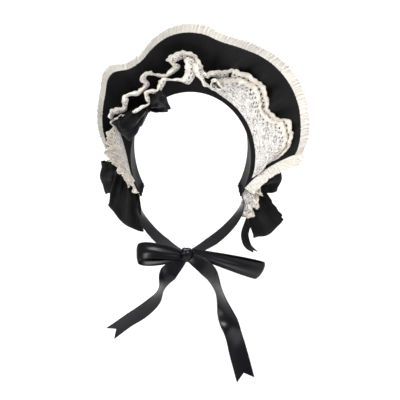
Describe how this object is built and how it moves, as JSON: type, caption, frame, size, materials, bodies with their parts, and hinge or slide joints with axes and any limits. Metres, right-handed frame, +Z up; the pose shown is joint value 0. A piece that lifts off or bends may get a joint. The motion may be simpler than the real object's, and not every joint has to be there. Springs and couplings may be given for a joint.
{
  "type": "half bonnet",
  "caption": "Half bonnet held in its worn shape: a wavy black cotton brim with a gathered ivory edge, eyelet lace tiers, a satin bow, a cotton bow at each ear and a ribbon tied under the chin.",
  "frame": {"origin": "the middle of the band's front edge, where the top of the band's inner face rests on the head", "axes": "+Z up, -Y towards the front, the way that the wearer looks, +X towards the right as seen from the front"},
  "size_m": [0.2775, 0.2014, 0.4665],
  "materials": {
    "black_cotton": "matte twill",
    "black_satin": "satin",
    "ivory_frill": "matte gathered lace",
    "white_eyelet_lace": "matte cotton eyelet"
  },
  "bodies": {
    "root": {"crown_band": "black_cotton", "brim": "black_cotton", "brim_edge_trim": "ivory_frill", "lace_ruffle_front": "white_eyelet_lace", "lace_ruffle_back": "white_eyelet_lace", "lace_end_right": "white_eyelet_lace", "satin_bow_knot": "black_satin", "satin_bow_loop_left": "black_satin", "satin_bow_loop_right": "black_satin", "side_bow_left_knot": "black_cotton", "side_bow_left_loop_front": "black_cotton", "side_bow_left_loop_back": "black_cotton", "side_bow_right_knot": "black_cotton", "side_bow_right_loop_upper": "black_cotton", "side_bow_right_loop_lower": "black_cotton", "side_bow_right_tail": "black_cotton", "chin_strap_left": "black_satin", "chin_strap_right": "black_satin", "chin_knot": "black_satin", "chin_loop_left": "black_satin", "chin_loop_right": "black_satin", "chin_tail_left": "black_satin", "chin_tail_right": "black_satin"}
  },
  "joints": []
}
